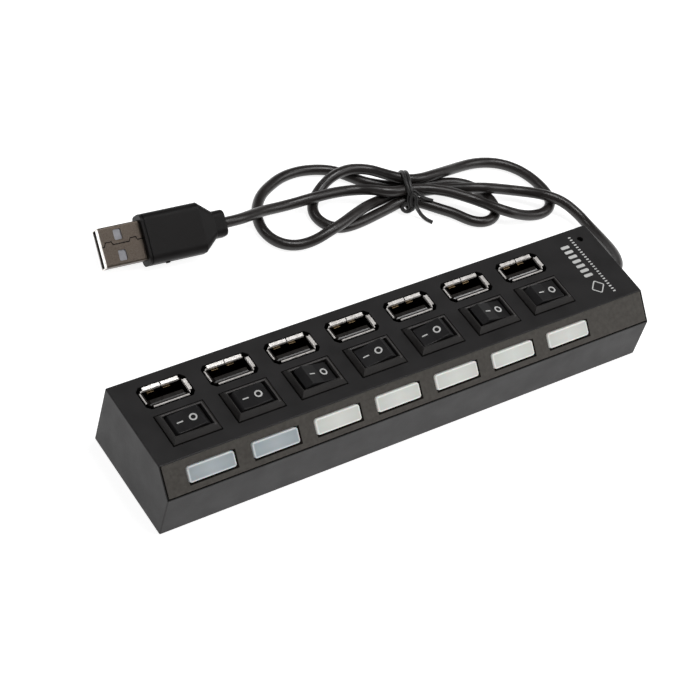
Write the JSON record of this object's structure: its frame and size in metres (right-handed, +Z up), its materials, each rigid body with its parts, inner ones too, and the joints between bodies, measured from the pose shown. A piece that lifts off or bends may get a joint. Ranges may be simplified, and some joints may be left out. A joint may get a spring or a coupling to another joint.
{
  "type": "usb hub",
  "caption": "Long bar-shaped USB hub with a row of sockets in its top, a rocker switch and a light window beside each, and a thin tied cord with a plug.",
  "frame": {"origin": "bottom centre of the hub's body, on the table", "axes": "+X along the hub's length towards the end where the cord leaves, +Y to the back, +Z up"},
  "size_m": [0.1875, 0.1049, 0.025],
  "materials": {
    "case_plastic": "satin",
    "strip_plastic": "satin",
    "foot_rubber": "matte",
    "screw_steel": "satin",
    "window_plastic": "translucent",
    "switch_plastic": "satin",
    "rocker_plastic": "satin",
    "socket_steel": "bright",
    "socket_plastic": "matte",
    "contact_brass": "bright",
    "board_laminate": "satin",
    "chip_plastic": "matte",
    "led_plastic": "clear",
    "can_aluminium": "satin",
    "cord_rubber": "satin",
    "tie_plastic": "satin",
    "plug_steel": "satin",
    "insert_plastic": "matte",
    "grip_plastic": "matte"
  },
  "bodies": {
    "hub": {"upper_case": "case_plastic", "top_rails": "case_plastic", "top_bars": "case_plastic", "bevel_strip": "strip_plastic", "base_plate": "case_plastic", "rubber_feet": "foot_rubber", "case_screws": "screw_steel", "light_window_1": "window_plastic", "switch_housing_1": "switch_plastic", "usb_shell_1": "socket_steel", "usb_tongue_1": "socket_plastic", "light_window_2": "window_plastic", "switch_housing_2": "switch_plastic", "usb_shell_2": "socket_steel", "usb_tongue_2": "socket_plastic", "light_window_3": "window_plastic", "switch_housing_3": "switch_plastic", "usb_shell_3": "socket_steel", "usb_tongue_3": "socket_plastic", "light_window_4": "window_plastic", "switch_housing_4": "switch_plastic", "usb_shell_4": "socket_steel", "usb_tongue_4": "socket_plastic", "light_window_5": "window_plastic", "switch_housing_5": "switch_plastic", "usb_shell_5": "socket_steel", "usb_tongue_5": "socket_plastic", "light_window_6": "window_plastic", "switch_housing_6": "switch_plastic", "usb_shell_6": "socket_steel", "usb_tongue_6": "socket_plastic", "light_window_7": "window_plastic", "switch_housing_7": "switch_plastic", "usb_shell_7": "socket_steel", "usb_tongue_7": "socket_plastic", "switch_terminals": "contact_brass", "usb_contacts": "contact_brass", "circuit_board": "board_laminate", "hub_chips": "chip_plastic", "indicator_leds": "led_plastic", "port_fuses": "chip_plastic", "capacitors": "can_aluminium", "power_led": "led_plastic", "cord_bushing": "cord_rubber", "cord_inner_lead": "cord_rubber", "cord_lead": "cord_rubber", "cord_hank": "cord_rubber", "cord_plug_lead": "cord_rubber", "cord_tie": "tie_plastic", "plug_shell": "plug_steel", "plug_insert": "insert_plastic", "plug_contacts": "contact_brass", "plug_grip": "grip_plastic"},
    "rocker_1": {"rocker_1": "rocker_plastic"},
    "rocker_2": {"rocker_2": "rocker_plastic"},
    "rocker_3": {"rocker_3": "rocker_plastic"},
    "rocker_4": {"rocker_4": "rocker_plastic"},
    "rocker_5": {"rocker_5": "rocker_plastic"},
    "rocker_6": {"rocker_6": "rocker_plastic"},
    "rocker_7": {"rocker_7": "rocker_plastic"}
  },
  "joints": [
    {"name": "rocker_1_tilt", "type": "hinge", "parent": "hub", "child": "rocker_1", "pos_m": [-0.0695, -0.00133, 0.0195], "axis": [0, 1, 0], "range_deg": [-7, 19]},
    {"name": "rocker_2_tilt", "type": "hinge", "parent": "hub", "child": "rocker_2", "pos_m": [-0.049, -0.00133, 0.0195], "axis": [0, 1, 0], "range_deg": [-10.5, 15.5]},
    {"name": "rocker_3_tilt", "type": "hinge", "parent": "hub", "child": "rocker_3", "pos_m": [-0.0285, -0.00133, 0.0195], "axis": [0, 1, 0], "range_deg": [-26, 0]},
    {"name": "rocker_4_tilt", "type": "hinge", "parent": "hub", "child": "rocker_4", "pos_m": [-0.008, -0.00133, 0.0195], "axis": [0, 1, 0], "range_deg": [0, 26]},
    {"name": "rocker_5_tilt", "type": "hinge", "parent": "hub", "child": "rocker_5", "pos_m": [0.0125, -0.00133, 0.0195], "axis": [0, 1, 0], "range_deg": [0, 26]},
    {"name": "rocker_6_tilt", "type": "hinge", "parent": "hub", "child": "rocker_6", "pos_m": [0.033, -0.00133, 0.0195], "axis": [0, 1, 0], "range_deg": [-26, 0]},
    {"name": "rocker_7_tilt", "type": "hinge", "parent": "hub", "child": "rocker_7", "pos_m": [0.0535, -0.00133, 0.0195], "axis": [0, 1, 0], "range_deg": [-20, 6]}
  ]
}
